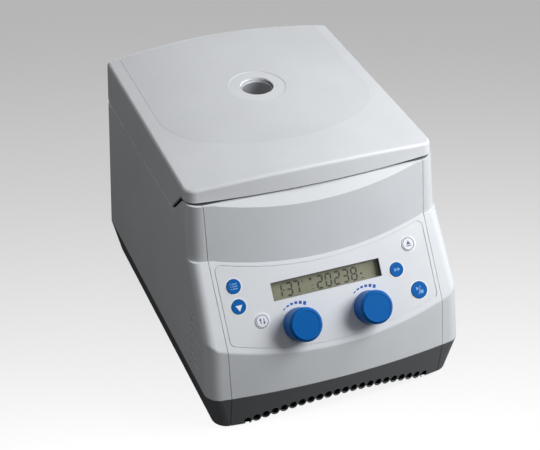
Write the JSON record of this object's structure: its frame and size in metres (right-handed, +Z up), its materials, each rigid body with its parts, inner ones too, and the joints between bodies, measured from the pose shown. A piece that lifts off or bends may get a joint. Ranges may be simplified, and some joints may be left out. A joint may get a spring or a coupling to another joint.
{
  "type": "bench microcentrifuge",
  "caption": "Small bench centrifuge for sample tubes: rounded casing with a sloping control panel, display, knobs and buttons, and a hinged lid with a window over a fixed-angle rotor.",
  "frame": {"origin": "on the bench under the middle of the machine", "axes": "+X to the machine's right as its user sees it, +Y to the back, +Z up"},
  "size_m": [0.24, 0.3166, 0.2224],
  "materials": {
    "white_shell": "fine spark-eroded texture, satin",
    "lid_white": "fine texture, satin",
    "liner_grey": "moulded, satin",
    "dark_base": "moulded, dark grey",
    "black_plastic": "moulded, black",
    "blue_cap": "moulded, satin blue",
    "white_cap": "moulded, white",
    "overlay_foil": "printed polyester foil",
    "clear_lens": "clear acrylic, polished",
    "lcd": "liquid crystal display, khaki",
    "circuit_board": "green solder mask",
    "component_black": "moulded component body",
    "zinc_steel": "zinc plated",
    "stainless": "deep drawn, brushed",
    "steel_shaft": "ground",
    "rotor_aluminium": "anodised",
    "rubber_black": "moulded",
    "gasket_grey": "silicone",
    "deck_grey": "moulded",
    "motor_paint": "black",
    "heat_aluminium": "extruded",
    "copper_choke": "enamelled winding",
    "ribbon_grey": "flat cable",
    "cap_sleeve": "shrink sleeve"
  },
  "bodies": {
    "root": {"base_tray": "dark_base", "front_vent_grille": "dark_base", "rubber_feet": "rubber_black", "left_side_shell": "white_shell", "right_side_shell": "white_shell", "front_cover": "white_shell", "rear_panel": "white_shell", "top_deck": "deck_grey", "casing_screws": "zinc_steel", "rear_screws": "zinc_steel", "control_overlay": "overlay_foil", "display_lens": "clear_lens", "display_bezel": "black_plastic", "display_module": "lcd", "control_board": "circuit_board", "control_board_screws": "zinc_steel", "button_switches": "component_black", "knob_encoders": "component_black", "mains_inlet": "black_plastic", "power_switch_frame": "black_plastic", "drive_board": "circuit_board", "heat_sink": "heat_aluminium", "capacitors": "cap_sleeve", "line_choke": "copper_choke", "ribbon_cable": "ribbon_grey", "rotor_bowl": "stainless", "bowl_gasket": "gasket_grey", "guard_ring": "zinc_steel", "motor": "motor_paint", "motor_bracket": "zinc_steel", "motor_mounts": "rubber_black", "motor_boot": "rubber_black", "hinge_towers": "zinc_steel", "hinge_screws": "zinc_steel", "latch_housing": "black_plastic", "latch_solenoid": "component_black"},
    "lid": {"lid_cover": "lid_white", "lid_liner": "liner_grey", "lid_window": "clear_lens", "lid_inner_window": "clear_lens", "latch_striker": "zinc_steel", "hinge_ears": "zinc_steel", "hinge_pins": "steel_shaft"},
    "rotor": {"motor_shaft": "steel_shaft", "rotor": "rotor_aluminium", "rotor_lid": "rotor_aluminium"},
    "rotor_lid_knob": {"rotor_lid_knob": "rotor_aluminium"},
    "time_knob": {"time_knob": "blue_cap", "time_knob_shaft": "steel_shaft"},
    "speed_knob": {"speed_knob": "blue_cap", "speed_knob_shaft": "steel_shaft"},
    "power_rocker": {"power_rocker": "black_plastic"},
    "fuse_drawer": {"fuse_drawer": "black_plastic"},
    "latch_bolt": {"latch_bolt": "zinc_steel"},
    "button_mode": {"button_mode": "blue_cap"},
    "button_down": {"button_down": "blue_cap"},
    "button_unit": {"button_unit": "white_cap"},
    "button_lid": {"button_lid": "white_cap"},
    "button_short": {"button_short": "blue_cap"},
    "button_start": {"button_start": "blue_cap"}
  },
  "joints": [
    {"name": "lid_hinge", "type": "hinge", "parent": "root", "child": "lid", "pos_m": [0, 0.142, 0.184], "axis": [-1, 0, 0], "range_deg": [0, 78]},
    {"name": "latch_bolt_slide", "type": "slide", "parent": "root", "child": "latch_bolt", "axis": [0, 1, 0], "range_m": [0, 0.012]},
    {"name": "rotor_spin", "type": "hinge", "parent": "root", "child": "rotor", "pos_m": [0, 0.049, 0.116], "axis": [0, 0, 1], "continuous": true},
    {"name": "rotor_lid_knob_turn", "type": "hinge", "parent": "rotor", "child": "rotor_lid_knob", "pos_m": [0, 0.049, 0.14], "axis": [0, 0, 1], "continuous": true},
    {"name": "time_knob_turn", "type": "hinge", "parent": "root", "child": "time_knob", "pos_m": [-0.0336, -0.13699, 0.08954], "axis": [0, -0.8111, 0.585], "continuous": true},
    {"name": "speed_knob_turn", "type": "hinge", "parent": "root", "child": "speed_knob", "pos_m": [0.0316, -0.13699, 0.08954], "axis": [0, -0.8111, 0.585], "continuous": true},
    {"name": "button_mode_press", "type": "slide", "parent": "root", "child": "button_mode", "axis": [0, 0.8111, -0.585], "range_m": [0, 0.0008], "stiffness_N_per_m": 1200, "springref_m": -0.0005},
    {"name": "button_down_press", "type": "slide", "parent": "root", "child": "button_down", "axis": [0, 0.8111, -0.585], "range_m": [0, 0.0008], "stiffness_N_per_m": 1200, "springref_m": -0.0005},
    {"name": "button_unit_press", "type": "slide", "parent": "root", "child": "button_unit", "axis": [0, 0.8111, -0.585], "range_m": [0, 0.0008], "stiffness_N_per_m": 1200, "springref_m": -0.0005},
    {"name": "button_lid_press", "type": "slide", "parent": "root", "child": "button_lid", "axis": [0, 0.8111, -0.585], "range_m": [0, 0.0008], "stiffness_N_per_m": 1200, "springref_m": -0.0005},
    {"name": "button_short_press", "type": "slide", "parent": "root", "child": "button_short", "axis": [0, 0.8111, -0.585], "range_m": [0, 0.0008], "stiffness_N_per_m": 1200, "springref_m": -0.0005},
    {"name": "button_start_press", "type": "slide", "parent": "root", "child": "button_start", "axis": [0, 0.8111, -0.585], "range_m": [0, 0.0008], "stiffness_N_per_m": 1200, "springref_m": -0.0005},
    {"name": "power_rocker_tilt", "type": "hinge", "parent": "root", "child": "power_rocker", "pos_m": [0.012, 0.147, 0.072], "axis": [1, 0, 0], "range_deg": [0, 16]},
    {"name": "fuse_drawer_slide", "type": "slide", "parent": "root", "child": "fuse_drawer", "axis": [0, 1, 0], "range_m": [0, 0.014]}
  ]
}
